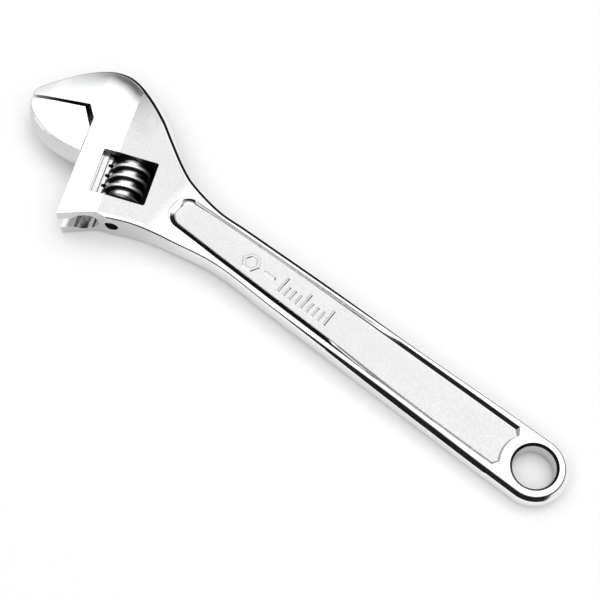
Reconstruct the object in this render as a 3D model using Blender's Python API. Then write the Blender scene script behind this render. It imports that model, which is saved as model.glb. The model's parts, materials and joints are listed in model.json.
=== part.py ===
"""Adjustable wrench, 300 mm class, jaws nearly shut.

The handle lies along X with the hang ring at +X and the head at -X. Z = 0 is the bottom of the
head. Everything is drawn in millimetres round the ring hole's centre and scaled to metres at the
end. The head has its own axes: u across the jaw channel (towards the handle) and v along the
channel (towards the fixed jaw); the movable jaw opens along -v.
"""

import math

import bmesh
import bpy
from mathutils import Matrix, Vector

for old in list(bpy.data.objects):
    bpy.data.objects.remove(old, do_unlink=True)

MM = 0.001

# ---- driving dimensions, millimetres and degrees ----
HEAD_DISTANCE = 235.5  # ring hole centre to the channel axis, along the handle
HEAD_DROP = 8.9  # channel centre below the handle's centre line
HEAD_ANGLE = 22.5  # head turned from the handle
HEAD_THICKNESS = 19.2
NECK_THICKNESS = 13.6
RING_THICKNESS = 10.8
JAW_TIP_THICKNESS = 12.6

RING_RADIUS = 15.2
HANG_HOLE_RADIUS = 9.8
RING_EDGE = 2.4  # how far the rounded side reaches in on the ring
HANDLE_EDGE = 2.0
HANDLE_HALF_WIDTH_NECK = 11.6
HANDLE_HALF_WIDTH_RING = 15.0

POCKET_DEPTH = 2.0
POCKET_WALL = 1.7  # width of the sloped wall
POCKET_HALF_WIDTH_HEAD = 6.7
POCKET_HALF_WIDTH_RING = 8.9
POCKET_HEAD_END = 195.6  # from the ring hole
POCKET_RING_RADIUS = 16.3
POCKET_CORNER = 5.0
MARK_HEIGHT = 0.45

JAW_GAP = 1.66  # between the jaw faces at rest; the jaw shuts over it and opens to 34 mm
FIXED_FACE_V = 32.2
THROAT_U = -14.7
THROAT_END_V = 25.5
WALL_U = -10.7  # machined wall the movable jaw slides along

CLEARANCE = 0.3
CHANNEL_RADIUS = 6.4
CHANNEL_TOP_V = 32.0
SLOT_HALF = 0.625 * CHANNEL_RADIUS
SLOT_TOP_V = 23.0
ROD_RADIUS = CHANNEL_RADIUS - CLEARANCE
ROD_V = (-13.0, 30.0)

ENGAGEMENT = 2.5  # how deep the worm's thread reaches into the rod
LEAD = 5.3
THREAD_CREST = 1.4
THREAD_BASE = 2.9
WORM_RADIUS = 9.0
WORM_ROOT_RADIUS = WORM_RADIUS - ENGAGEMENT - CLEARANCE
WORM_AXIS_U = ROD_RADIUS - ENGAGEMENT + WORM_RADIUS
RACK_ROOT_U = ROD_RADIUS - ENGAGEMENT - 1.0
RACK_STEP_U = RACK_ROOT_U - 0.7
RACK_HALF = ROD_RADIUS - 1.3

WINDOW_U = (-0.5, WORM_AXIS_U + WORM_RADIUS + 3.9)
WINDOW_V = (-11.1, 11.2)
WORM_V = (WINDOW_V[0] + 1.55, WINDOW_V[1] - 0.35)  # the spring fills the larger gap
PIN_RADIUS = 2.2
PIN_HEAD_RADIUS = PIN_RADIUS + 0.7
PIN_HEAD_TOP_V = WINDOW_V[0] - 1.7
PIN_HEAD_END_V = -19.0
PIN_END_V = WINDOW_V[1] + 5.3
SPRING_RADIUS = PIN_RADIUS + 1.1
SPRING_WIRE = 0.35
SPRING_COILS = 4.5
COUNTERBORE_RADIUS = PIN_RADIUS + 1.8
COUNTERBORE_V = WORM_V[0] + 4.35

# Contour of the forging's flat top, in head axes (u, v) with the width of its rounded side.
# It runs from the neck's upper side round the fixed jaw; past the tip it closes the blank below
# the jaw, where the mouth is cut away, and comes back along the lower side to the neck.
HEAD_CONTOUR = (
    (42.0, 5.7, 2.1), (35.0, 12.8, 2.6), (27.0, 22.9, 3.4), (18.5, 34.0, 4.0),
    (9.5, 43.6, 4.2), (3.0, 48.8, 3.9), (-3.0, 51.6, 3.6), (-10.0, 52.2, 3.4),
    (-17.5, 50.6, 3.2), (-25.5, 47.2, 2.8), (-33.5, 42.2, 2.2), (-40.0, 37.8, 1.5),
    (-42.6, 35.2, 1.0), (-43.2, 31.0, 0.8), (-40.0, 20.0, 1.0), (-32.0, 0.0, 1.5),
    (-24.0, -22.0, 2.0), (-15.0, -33.0, 2.0), (-6.0, -31.0, 2.0), (1.0, -25.5, 1.8),
    (4.2, -21.8, 1.6), (7.5, -20.6, 1.6), (12.8, -20.0, 1.5), (22.0, -19.5, 1.5), (31.6, -20.1, 1.8),
    (41.0, -21.7, 2.0),
)
# Outer contour of the movable jaw's flat top, in head axes, from its tip to the channel wall.
JAW_CONTOUR = (
    (-43.2, 31.0, 0.8), (-42.9, 27.4, 1.4), (-40.6, 23.8, 2.4), (-37.2, 20.2, 3.2),
    (-32.4, 16.2, 3.5), (-26.6, 12.6, 3.6), (-20.0, 10.0, 3.6), (-11.0, 7.5, 3.6),
    (0.0, 4.6, 3.6),
)

COS = math.cos(math.radians(HEAD_ANGLE))
SIN = math.sin(math.radians(HEAD_ANGLE))


def place(u, v):
    """Head axes to handle axes."""
    return (-HEAD_DISTANCE + u * COS - v * SIN, -HEAD_DROP + u * SIN + v * COS)


def in_head(x, y):
    """Handle axes to head axes."""
    dx, dy = x + HEAD_DISTANCE, y + HEAD_DROP
    return (dx * COS + dy * SIN, -dx * SIN + dy * COS)


HEAD_MATRIX = Matrix.Translation((-HEAD_DISTANCE, -HEAD_DROP, 0)) @ Matrix.Rotation(
    math.radians(HEAD_ANGLE), 4, "Z"
)


def handle_half_thickness(x):
    neck_x = -0.786 * HEAD_DISTANCE
    t = min(max(x / neck_x, -0.1), 1.3)
    return 0.5 * (RING_THICKNESS + (NECK_THICKNESS - RING_THICKNESS) * t)


def half_thickness(x, y):
    """Half of the forging's thickness where its top is flat."""
    u, _ = in_head(x, y)
    head = 0.5 * HEAD_THICKNESS
    if u < WALL_U:
        t = min((WALL_U - u) / 32.5, 1.15)
        return head - 0.5 * (HEAD_THICKNESS - JAW_TIP_THICKNESS) * t
    s = min(max((u - 6.5) / 41.5, 0.0), 1.0)
    s = s * (1.6 - 0.6 * s)
    return head * (1 - s) + handle_half_thickness(x) * s


def curve(points, steps):
    """Points along a centripetal-like spline through the given points, ends included."""
    out = []
    for i in range(len(points) - 1):
        p0 = points[max(i - 1, 0)]
        p1, p2 = points[i], points[i + 1]
        p3 = points[min(i + 2, len(points) - 1)]
        for k in range(steps):
            t = k / steps
            a = 2 * t**3 - 3 * t**2 + 1
            b = t**3 - 2 * t**2 + t
            c = -2 * t**3 + 3 * t**2
            d = t**3 - t**2
            reach = math.dist(p1[:2], p2[:2])
            before = math.dist(p0[:2], p2[:2]) or 1.0
            after = math.dist(p1[:2], p3[:2]) or 1.0
            out.append(
                tuple(
                    a * p1[j]
                    + b * (p2[j] - p0[j]) * reach / before
                    + c * p2[j]
                    + d * (p3[j] - p1[j]) * reach / after
                    for j in range(3)
                )
            )
    out.append(points[-1])
    return out


# ---- mesh helpers ----
def new_object(name, bm):
    mesh = bpy.data.meshes.new(name)
    bm.to_mesh(mesh)
    bm.free()
    obj = bpy.data.objects.new(name, mesh)
    bpy.context.scene.collection.objects.link(obj)
    return obj


def baked(obj):
    """Replaces an object's mesh by what its modifiers make of it."""
    graph = bpy.context.evaluated_depsgraph_get()
    graph.update()
    mesh = bpy.data.meshes.new_from_object(obj.evaluated_get(graph))
    obj.modifiers.clear()
    obj.data = mesh
    return obj


def combine(obj, other, operation):
    """Boolean of obj with other, which is used up."""
    step = obj.modifiers.new("step", "BOOLEAN")
    step.operation = operation
    step.solver = "EXACT"
    step.object = other
    baked(obj)
    bpy.data.objects.remove(other, do_unlink=True)
    return obj


def oriented(bm):
    bmesh.ops.recalc_face_normals(bm, faces=bm.faces[:])
    return bm


def rings_to_bmesh(rings, closed=False):
    """A tube through rings of points, capped at both ends unless it closes on itself."""
    bm = bmesh.new()
    loops = [[bm.verts.new(p) for p in ring] for ring in rings]
    n = len(loops[0])
    pairs = list(zip(loops, loops[1:]))
    if closed:
        pairs.append((loops[-1], loops[0]))
    for a, b in pairs:
        for i in range(n):
            bm.faces.new((a[i], a[(i + 1) % n], b[(i + 1) % n], b[i]))
    if not closed:
        bm.faces.new(loops[0][::-1])
        bm.faces.new(loops[-1])
    return oriented(bm)


def prism(name, outline, z0, z1):
    return new_object(
        name,
        rings_to_bmesh([[(x, y, z0) for x, y in outline], [(x, y, z1) for x, y in outline]]),
    )


def head_prism(name, outline, z0, z1):
    return prism(name, [place(u, v) for u, v in outline], z0, z1)


def along_v(name, u, profile, sides=32):
    """A turned piece on an axis along v at u; profile is (v, radius) pairs."""
    rings = []
    for v, r in profile:
        ring = []
        for k in range(sides):
            a = 2 * math.pi * (k + 0.5) / sides
            ring.append(HEAD_MATRIX @ Vector((u + r * math.cos(a), v, r * math.sin(a))))
        rings.append(ring)
    return new_object(name, rings_to_bmesh(rings))


def rounded_box(u0, u1, v0, v1, r, steps=3):
    out = []
    for cu, cv, start in ((u1 - r, v1 - r, 0), (u0 + r, v1 - r, 90),
                          (u0 + r, v0 + r, 180), (u1 - r, v0 + r, 270)):
        for k in range(steps + 1):
            a = math.radians(start + 90 * k / steps)
            out.append((cu + r * math.cos(a), cv + r * math.sin(a)))
    return out


SIDE = ((0, 0.0), (22, 0.3), (42, 0.6), (60, 0.82), (76, 0.95), (90, 1.0))


def forged(name, contour, cuts):
    """A forging symmetric about z = 0: contour is the closed (x, y, side width) loop of its top.

    The sides bulge out by the side width at mid height. cuts are vertical planes, as (point,
    normal), that put edges where the thickness changes.
    """
    n = len(contour)
    outward = []
    for i in range(n):
        ax, ay, _ = contour[i - 1]
        bx, by, _ = contour[(i + 1) % n]
        length = math.hypot(bx - ax, by - ay)
        outward.append(((by - ay) / length, -(bx - ax) / length))
    turn = sum(contour[i - 1][0] * contour[i][1] - contour[i][0] * contour[i - 1][1]
               for i in range(n))
    sign = 1 if turn > 0 else -1
    rings = []
    levels = [(-a, -1) for a, _ in SIDE[::-1]] + [(a, 1) for a, _ in SIDE[1:]]
    for angle, _ in levels:
        a = math.radians(abs(angle))
        out = math.cos(a) ** 0.8
        z = math.copysign(math.sin(a) ** 0.9, angle) if angle else 0.0
        rings.append([
            (x + sign * ox * w * out, y + sign * oy * w * out, z)
            for (x, y, w), (ox, oy) in zip(contour, outward)
        ])
    bm = rings_to_bmesh(rings)
    for point, normal in cuts:
        bmesh.ops.bisect_plane(
            bm, geom=bm.verts[:] + bm.edges[:] + bm.faces[:], dist=1e-5,
            plane_co=point, plane_no=normal,
        )
    bmesh.ops.triangulate(bm, faces=[f for f in bm.faces if len(f.verts) > 4])
    for vert in bm.verts:
        vert.co.z *= half_thickness(vert.co.x, vert.co.y)
    bmesh.ops.triangulate(bm, faces=bm.faces[:])
    return new_object(name, oriented(bm))


def u_cuts(values):
    normal = (COS, SIN, 0)
    return [((*place(u, 0), 0), normal) for u in values]


# ---- body: handle, fixed jaw and channel ----
def body_contour():
    stretch = HEAD_DISTANCE / 235.5
    upper, lower = [], []
    for x in (-20, -45, -75, -105, -135, -165):
        t = (x + 20) / -145
        half = HANDLE_HALF_WIDTH_RING + (HANDLE_HALF_WIDTH_NECK - HANDLE_HALF_WIDTH_RING) * t
        edge = RING_EDGE + (HANDLE_EDGE - RING_EDGE) * t
        upper.append((x * stretch, half - edge, edge))
        lower.append((x * stretch, -half + edge, edge))
    upper.append((-180 * stretch, upper[-1][1] - 0.3, HANDLE_EDGE - 0.1))
    ring = []
    for k in range(33):
        a = math.radians(-90 + 180 * k / 32)
        r = RING_RADIUS - RING_EDGE
        ring.append((r * math.cos(a), r * math.sin(a), RING_EDGE))
    head = [(*place(u, v), w) for u, v, w in HEAD_CONTOUR]
    path = [ring[-1]] + upper + head + lower[::-1] + [ring[0]]
    return ring + curve(path, 4)[1:-1]


def pocket_loop(grow):
    stretch = HEAD_DISTANCE / 235.5
    end = POCKET_HEAD_END * stretch

    def half(x):
        t = 1 - (x / stretch + 176) / 161
        widening = POCKET_HALF_WIDTH_RING - POCKET_HALF_WIDTH_HEAD
        return POCKET_HALF_WIDTH_HEAD + widening * (1 - t * t) + grow

    arc = POCKET_RING_RADIUS - grow
    alpha = math.asin(min(0.8 * half(-15) / arc, 0.95))
    loop = []
    for k in range(9):
        a = math.pi - alpha + 2 * alpha * k / 8
        loop.append((arc * math.cos(a), arc * math.sin(a)))
    corner = arc * math.cos(math.pi - alpha) - 1.0
    for x in (corner, -45 * stretch, -75 * stretch, -110 * stretch, -145 * stretch):
        loop.append((x, -half(x)))
    r = POCKET_CORNER
    for k in range(5):
        a = math.radians(270 - 90 * k / 4)
        x = -end - grow + r + r * math.cos(a)
        loop.append((x, -half(-end + r) + r + r * math.sin(a)))
    for k in range(5):
        a = math.radians(180 - 90 * k / 4)
        x = -end - grow + r + r * math.cos(a)
        loop.append((x, half(-end + r) - r + r * math.sin(a)))
    for x in (-145 * stretch, -110 * stretch, -75 * stretch, -45 * stretch, corner):
        loop.append((x, half(x)))
    return loop


def pocket(side):
    rings = []
    for rise, grow in ((0.0, 0.0), (POCKET_DEPTH + 1.2, POCKET_WALL * (POCKET_DEPTH + 1.2) / POCKET_DEPTH)):
        rings.append([
            (x, y, side * (handle_half_thickness(x) - POCKET_DEPTH + rise))
            for x, y in pocket_loop(grow)
        ])
    bm = rings_to_bmesh(rings)
    bmesh.ops.triangulate(bm, faces=bm.faces[:])
    return new_object("pocket", oriented(bm))


def mark(outline):
    """A raised mark on the upper pocket's floor."""
    rings = []
    for rise in (-0.5, MARK_HEIGHT):
        rings.append([
            (x, y, handle_half_thickness(x) - POCKET_DEPTH + rise) for x, y in outline
        ])
    return new_object("mark", rings_to_bmesh(rings))


def marks():
    stretch = HEAD_DISTANCE / 235.5
    out = []
    cx = -153.0 * stretch
    dash = (cx + 7.5, cx + 13.5)
    out.append([(dash[0], -0.7), (dash[1], -0.7), (dash[1], 0.7), (dash[0], 0.7)])
    for k in range(9):
        x = cx + 18.0 + 3.2 * k
        top = 4.2 if k % 4 == 0 else 1.2
        out.append([(x - 0.5, -4.2), (x + 0.5, -4.2), (x + 0.5, top), (x - 0.5, top)])
    return out


def hexagon_mark():
    cx = -153.0 * HEAD_DISTANCE / 235.5
    bm = bmesh.new()
    loops = []
    for r in (4.6, 2.9):
        for rise in (-0.5, MARK_HEIGHT):
            loop = []
            for k in range(6):
                x = cx + r * math.cos(math.radians(60 * k))
                y = r * math.sin(math.radians(60 * k))
                loop.append(bm.verts.new((x, y, handle_half_thickness(x) - POCKET_DEPTH + rise)))
            loops.append(loop)
    for a, b in ((0, 1), (1, 3), (3, 2), (2, 0)):
        for k in range(6):
            j = (k + 1) % 6
            bm.faces.new((loops[a][k], loops[a][j], loops[b][j], loops[b][k]))
    return new_object("mark", oriented(bm))


def build_body():
    body = forged("body", body_contour(),
                  u_cuts((-34, -26, -18, WALL_U, 6.5, 12, 18, 25, 33, 41, 48)))
    big = HEAD_THICKNESS
    mouth = [(THROAT_U, FIXED_FACE_V), (-70, FIXED_FACE_V), (-70, -70), (WALL_U, -70),
             (WALL_U, THROAT_END_V)]
    combine(body, head_prism("cut", mouth, -big, big), "DIFFERENCE")
    end = [(-30, -33.2), (2.0, -22.0), (5.0, -21.15), (7.0, -21.0), (9.0, -21.2), (11.0, -21.6),
           (13.0, -22.3), (15.0, -23.4), (15.0, -70), (-30, -70)]
    combine(body, head_prism("cut", end, -big, big), "DIFFERENCE")
    window = rounded_box(*WINDOW_U, *WINDOW_V, 0.9)
    combine(body, head_prism("cut", window, -big, big), "DIFFERENCE")
    slot = [(WALL_U - 4, -60), (0, -60), (0, SLOT_TOP_V), (WALL_U - 4, SLOT_TOP_V)]
    combine(body, head_prism("cut", slot, -SLOT_HALF, SLOT_HALF), "DIFFERENCE")
    bore = along_v("cut", 0, ((-60, CHANNEL_RADIUS), (CHANNEL_TOP_V, CHANNEL_RADIUS)), 40)
    combine(body, bore, "DIFFERENCE")
    wide, narrow = PIN_HEAD_RADIUS + CLEARANCE, PIN_RADIUS + CLEARANCE
    seat = PIN_HEAD_TOP_V + CLEARANCE
    hole = along_v("cut", WORM_AXIS_U,
                   ((-60, wide), (seat, wide), (seat + 0.01, narrow), (PIN_END_V + 0.5, narrow)), 24)
    combine(body, hole, "DIFFERENCE")
    ring = [(HANG_HOLE_RADIUS * math.cos(2 * math.pi * k / 48),
             HANG_HOLE_RADIUS * math.sin(2 * math.pi * k / 48)) for k in range(48)]
    combine(body, prism("cut", ring, -big, big), "DIFFERENCE")
    for side in (1, -1):
        combine(body, pocket(side), "DIFFERENCE")
    combine(body, hexagon_mark(), "UNION")
    for outline in marks():
        combine(body, mark(outline), "UNION")
    return body


# ---- movable jaw: jaw, web and round rod with the rack ----
def jaw_contour():
    path = [(*place(u, v), w) for u, v, w in JAW_CONTOUR]
    path += [(*place(8.0, 20.0), 2.0), (*place(-10.0, 42.0), 2.0), (*place(-34.0, 42.0), 2.0)]
    path.append(path[0])
    return curve(path, 4)[:-1]


def build_jaw():
    jaw = forged("movable_jaw", jaw_contour(), u_cuts((-34, -26, -18)))
    face = FIXED_FACE_V - JAW_GAP
    wall = WALL_U - CLEARANCE
    keep = [(wall, -10), (wall, 20.25), (-16.6, face), (-60, face), (-60, -10)]
    big = HEAD_THICKNESS
    combine(jaw, head_prism("keep", keep, -big, big), "INTERSECT")
    half = SLOT_HALF - CLEARANCE
    web = [(wall - 2.0, 8.4), (0, 8.4), (0, 20.25), (wall - 2.0, 20.25)]
    combine(jaw, head_prism("web", web, -half, half), "UNION")
    rod_r = ROD_RADIUS
    rod = along_v("rod", 0, ((ROD_V[0], rod_r - 0.8), (ROD_V[0] + 0.8, rod_r),
                             (ROD_V[1] - 0.8, rod_r), (ROD_V[1], rod_r - 0.8)), 36)
    for side in (1, -1):
        strip = head_prism("strip", [(RACK_STEP_U, -40), (20, -40), (20, 50), (RACK_STEP_U, 50)],
                           min(side * RACK_HALF, side * 20), max(side * RACK_HALF, side * 20))
        combine(rod, strip, "DIFFERENCE")
    slope = LEAD / (2 * math.pi * (WORM_RADIUS - 0.7))
    taper = 0.5 * (THREAD_BASE - THREAD_CREST) / (WORM_RADIUS - WORM_ROOT_RADIUS)
    crest_u = WORM_AXIS_U - WORM_RADIUS
    first = math.ceil((ROD_V[0] + 0.5) / LEAD)
    last = math.floor((ROD_V[1] + 2.5) / LEAD)
    for k in range(first, last + 1):
        at = 0.5 * THREAD_CREST + CLEARANCE
        low, high = at - taper * (crest_u - RACK_ROOT_U), at + taper * (12 - crest_u)
        rings = []
        for z in (-8.0, 8.0):
            mid = k * LEAD + slope * z
            rings.append([HEAD_MATRIX @ Vector((u, mid + w, z)) for u, w in
                          ((RACK_ROOT_U, -low), (12, -high), (12, high), (RACK_ROOT_U, low))])
        combine(rod, new_object("gap", rings_to_bmesh(rings)), "DIFFERENCE")
    combine(jaw, rod, "UNION")
    return jaw


# ---- worm ----
def build_worm():
    v0, v1 = WORM_V
    core = along_v("worm", WORM_AXIS_U, ((v0 - 1, WORM_ROOT_RADIUS), (v1 + 1, WORM_ROOT_RADIUS)), 36)
    sides = 28
    turns = (v1 - v0) / LEAD + 1.4
    start = round((v0 / LEAD - 0.7) * sides)
    rings = []
    inner = WORM_ROOT_RADIUS - 0.61
    taper = 0.5 * (THREAD_BASE - THREAD_CREST) / (WORM_RADIUS - WORM_ROOT_RADIUS)
    base = 0.5 * THREAD_BASE + taper * 0.6
    for k in range(round(turns * sides) + 1):
        a = 2 * math.pi * (start + k) / sides
        v = LEAD * a / (2 * math.pi)
        ring = []
        for r, w in ((inner, -base), (WORM_RADIUS, -0.5 * THREAD_CREST),
                     (WORM_RADIUS, 0.5 * THREAD_CREST), (inner, base)):
            ring.append(HEAD_MATRIX @ Vector((WORM_AXIS_U - r * math.cos(a), v + w, r * math.sin(a))))
        rings.append(ring)
    thread = new_object("thread", rings_to_bmesh(rings))
    combine(core, thread, "UNION")
    chamfer = 1.4
    keep = along_v("keep", WORM_AXIS_U, (
        (v0 + 0.05, WORM_RADIUS + 0.2 - chamfer), (v0 + chamfer, WORM_RADIUS + 0.2),
        (v1 - chamfer, WORM_RADIUS + 0.2), (v1 - 0.05, WORM_RADIUS + 0.2 - chamfer)), 40)
    combine(core, keep, "INTERSECT")
    bore = PIN_RADIUS + CLEARANCE
    hole = along_v("hole", WORM_AXIS_U, (
        (v0 - 5, COUNTERBORE_RADIUS), (COUNTERBORE_V, COUNTERBORE_RADIUS),
        (COUNTERBORE_V + 0.01, bore), (v1 + 5, bore)), 24)
    combine(core, hole, "DIFFERENCE")
    return core


# ---- worm pin: slotted screw with a plain shaft ----
def build_pin():
    head_v = PIN_HEAD_END_V
    pin = along_v("worm_pin", WORM_AXIS_U, (
        (head_v, PIN_HEAD_RADIUS - 0.4), (head_v + 0.4, PIN_HEAD_RADIUS),
        (PIN_HEAD_TOP_V, PIN_HEAD_RADIUS), (PIN_HEAD_TOP_V + 0.01, PIN_RADIUS),
        (PIN_END_V - 0.6, PIN_RADIUS), (PIN_END_V, PIN_RADIUS - 0.6)), 24)
    slot = [(WORM_AXIS_U - 5, head_v - 3), (WORM_AXIS_U + 5, head_v - 3),
            (WORM_AXIS_U + 5, head_v + 1.2), (WORM_AXIS_U - 5, head_v + 1.2)]
    combine(pin, head_prism("slot", slot, -0.55, 0.55), "DIFFERENCE")
    return pin


# ---- worm spring ----
def build_spring():
    v0 = WINDOW_V[0] + CLEARANCE + SPRING_WIRE
    v1 = COUNTERBORE_V - CLEARANCE - SPRING_WIRE
    per_turn = 16
    count = round(SPRING_COILS * per_turn)
    rings = []
    for k in range(count + 1):
        a = 2 * math.pi * k / per_turn
        v = v0 + (v1 - v0) * k / count
        ring = []
        for j in range(6):
            b = 2 * math.pi * j / 6
            r = SPRING_RADIUS + SPRING_WIRE * math.cos(b)
            ring.append(HEAD_MATRIX @ Vector(
                (WORM_AXIS_U + r * math.cos(a), v + SPRING_WIRE * math.sin(b), r * math.sin(a))))
        rings.append(ring)
    return new_object("worm_spring", rings_to_bmesh(rings))


def material(name, colour, roughness, metallic):
    mat = bpy.data.materials.new(name)
    mat.use_nodes = True
    shader = mat.node_tree.nodes["Principled BSDF"]
    shader.inputs["Base Color"].default_value = (*colour, 1.0)
    shader.inputs["Roughness"].default_value = roughness
    shader.inputs["Metallic"].default_value = metallic
    mat.diffuse_color = (*colour, 1.0)
    return mat


def cleaned(obj):
    bm = bmesh.new()
    bm.from_mesh(obj.data)
    bmesh.ops.remove_doubles(bm, verts=bm.verts[:], dist=2e-5)
    bmesh.ops.dissolve_degenerate(bm, dist=2e-5, edges=bm.edges[:])
    bmesh.ops.triangulate(bm, faces=bm.faces[:])
    oriented(bm)
    bm.to_mesh(obj.data)
    bm.free()
    return obj


nodes = [
    (build_body(), (0, 0, 0), (0.82, 0.83, 0.84), 0.22, 1.0),
    (build_jaw(), (*place(0, 0), 0), (0.82, 0.83, 0.84), 0.22, 1.0),
    (build_worm(), (*place(WORM_AXIS_U, 0), 0), (0.72, 0.73, 0.74), 0.3, 1.0),
    (build_pin(), (*place(WORM_AXIS_U, 0), 0), (0.45, 0.45, 0.46), 0.4, 1.0),
    (build_spring(), (*place(WORM_AXIS_U, 0), 0), (0.6, 0.6, 0.6), 0.35, 1.0),
]
for obj, *_ in nodes:
    cleaned(obj)
corners = [v.co for obj, *_ in nodes for v in obj.data.vertices]
low = [min(c[k] for c in corners) for k in range(3)]
high = [max(c[k] for c in corners) for k in range(3)]
shift = Vector((-0.5 * (low[0] + high[0]), -0.5 * (low[1] + high[1]), -low[2]))
for obj, origin, colour, roughness, metallic in nodes:
    obj.data.transform(Matrix.Scale(MM, 4) @ Matrix.Translation(-Vector(origin)))
    obj.location = (Vector(origin) + shift) * MM
    obj.data.materials.clear()
    obj.data.materials.append(material(obj.name, colour, roughness, metallic))
    for poly in obj.data.polygons:
        poly.use_smooth = True
    obj.data.set_sharp_from_angle(angle=math.radians(28))
    obj.data.name = obj.name
    print(obj.name, len(obj.data.polygons), [round(c * 1000, 3) for c in obj.location])
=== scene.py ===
import json
import math

import bmesh
import bpy
import numpy as np
from mathutils import Matrix, Vector
from mathutils.geometry import delaunay_2d_cdt


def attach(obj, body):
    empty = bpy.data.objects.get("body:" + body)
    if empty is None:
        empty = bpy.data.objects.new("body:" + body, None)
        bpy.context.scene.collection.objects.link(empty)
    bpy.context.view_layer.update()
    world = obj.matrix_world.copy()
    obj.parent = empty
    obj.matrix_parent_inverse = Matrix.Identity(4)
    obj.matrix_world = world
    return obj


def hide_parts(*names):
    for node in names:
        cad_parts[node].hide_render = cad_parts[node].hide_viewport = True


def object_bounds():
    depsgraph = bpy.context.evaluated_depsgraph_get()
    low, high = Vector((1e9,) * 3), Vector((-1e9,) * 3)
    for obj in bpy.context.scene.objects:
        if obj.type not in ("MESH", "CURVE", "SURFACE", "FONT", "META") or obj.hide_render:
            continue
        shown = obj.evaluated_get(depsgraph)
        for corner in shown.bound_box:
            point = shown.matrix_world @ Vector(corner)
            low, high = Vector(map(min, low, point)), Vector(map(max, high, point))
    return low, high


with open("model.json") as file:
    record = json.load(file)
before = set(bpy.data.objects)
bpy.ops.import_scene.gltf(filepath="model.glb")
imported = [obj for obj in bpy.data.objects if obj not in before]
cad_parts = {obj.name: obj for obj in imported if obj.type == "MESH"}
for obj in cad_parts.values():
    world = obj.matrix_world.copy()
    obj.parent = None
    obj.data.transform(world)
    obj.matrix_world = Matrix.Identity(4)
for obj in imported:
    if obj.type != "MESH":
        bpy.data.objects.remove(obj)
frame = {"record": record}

CAD_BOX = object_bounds()
MM = 0.001

# ---- sizes, millimetres and degrees, as in the CAD unless a comment says otherwise ----
# The handle lies along X round the ring hole's centre. The head has its own axes: u across the
# jaw channel, towards the handle, and v along the channel, towards the fixed jaw.
HEAD_DISTANCE, HEAD_DROP, HEAD_ANGLE = 235.5, 8.9, 22.5
HEAD_THICKNESS, NECK_THICKNESS, RING_THICKNESS, JAW_TIP_THICKNESS = 19.2, 13.6, 10.8, 12.6
RING_RADIUS = 15.2
HANG_HOLE_RADIUS, RING_EDGE, HANDLE_EDGE = 9.4, 2.7, 2.4  # not the CAD's: wider soft edges
HANDLE_HALF_WIDTH_NECK, HANDLE_HALF_WIDTH_RING = 11.6, 15.0
POCKET_DEPTH, POCKET_WALL = 2.0, 1.7
POCKET_HALF_WIDTH_HEAD, POCKET_HALF_WIDTH_RING = 6.7, 8.9
POCKET_HEAD_END, POCKET_RING_RADIUS, POCKET_CORNER, MARK_HEIGHT = 195.6, 16.3, 5.0, 0.45
MARK_X = -153.0
# on the neck's lower side the finish that turns to polish is a darker chrome, a painted shade
NECK_POLISH, SIDE_POLISH = (-203.0, -190.0), (-222.0, -172.0)  # x where a finish turns to polish
JAW_GAP, FIXED_FACE_V, THROAT_U, THROAT_END_V, WALL_U = 1.66, 32.2, -14.7, 25.5, -10.7
CHANNEL_RADIUS, CHANNEL_TOP_V, SLOT_HALF, SLOT_TOP_V, CLEARANCE = 6.4, 32.0, 4.0, 23.0, 0.3
RIDGE_U = 6.5  # the head is full thickness from the machined wall to this ridge
TIP_SPAN, NECK_SPAN = 32.5, 41.5  # over which it thins to the jaw tip and to the handle
NECK_X = -0.786 * HEAD_DISTANCE  # where the handle has NECK_THICKNESS
CROWN_DROP, CROWN_REACH = 2.95, 17  # the polished head's rounding at its back; only here
WINDOW_U, WINDOW_V, WINDOW_CORNER = (-0.5, 25.5), (-11.1, 11.2), 0.9
WORM_AXIS_U, WORM_RADIUS, WORM_ROOT_RADIUS, WORM_V = 12.6, 9.0, 6.2, (-9.55, 10.85)
LEAD, THREAD_CREST, THREAD_BASE = 5.3, 1.4, 2.9
THREAD_TAPER = 0.5 * (THREAD_BASE - THREAD_CREST) / (WORM_RADIUS - WORM_ROOT_RADIUS)
PIN_RADIUS, PIN_HEAD_RADIUS, PIN_HEAD_END_V, PIN_HEAD_TOP_V, PIN_END_V = 2.2, 2.9, -19.0, -12.8, 16.5
SPRING_RADIUS, SPRING_WIRE, SPRING_COILS = 3.3, 0.35, 4.5
COUNTERBORE_RADIUS, COUNTERBORE_V = 4.0, -5.2
RACK_ROOT_U, RACK_STEP_U, RACK_HALF, ROD_V = 2.6, 1.9, 4.8, (-13.0, 30.0)
SHARP_ANGLE = 24  # an edge between faces that turn more than this stays sharp

# The flat top's contour round the head and round the movable jaw: (u, v, width of the side).
HEAD_CONTOUR = (
    (42.0, 5.7, 2.1), (35.0, 12.8, 2.6), (27.0, 22.9, 3.4), (18.5, 34.0, 4.0),
    (9.5, 43.6, 4.2), (3.0, 48.8, 3.9), (-3.0, 51.6, 3.6), (-10.0, 52.2, 3.4),
    (-17.5, 50.6, 3.2), (-25.5, 47.2, 2.8), (-33.5, 42.2, 2.2), (-40.0, 37.8, 1.5),
    (-42.6, 35.2, 1.0), (-43.2, 31.0, 0.8), (-40.0, 20.0, 1.0), (-32.0, 0.0, 1.5),
    (-24.0, -22.0, 2.0), (-15.0, -33.0, 2.0), (-6.0, -31.0, 2.0), (1.0, -25.5, 1.8),
    (4.2, -21.8, 1.6), (7.5, -20.6, 1.6), (12.8, -20.0, 1.5), (22.0, -19.5, 1.5),
    (31.6, -20.1, 1.8), (41.0, -21.7, 2.0),
)
JAW_CONTOUR = (
    (-43.2, 31.0, 0.8), (-42.9, 27.4, 1.4), (-40.6, 23.8, 2.4), (-37.2, 20.2, 3.2),
    (-32.4, 16.2, 3.5), (-26.6, 12.6, 3.6), (-20.0, 10.0, 3.6), (-11.0, 7.5, 3.6),
    (0.0, 4.6, 3.6),
)

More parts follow.
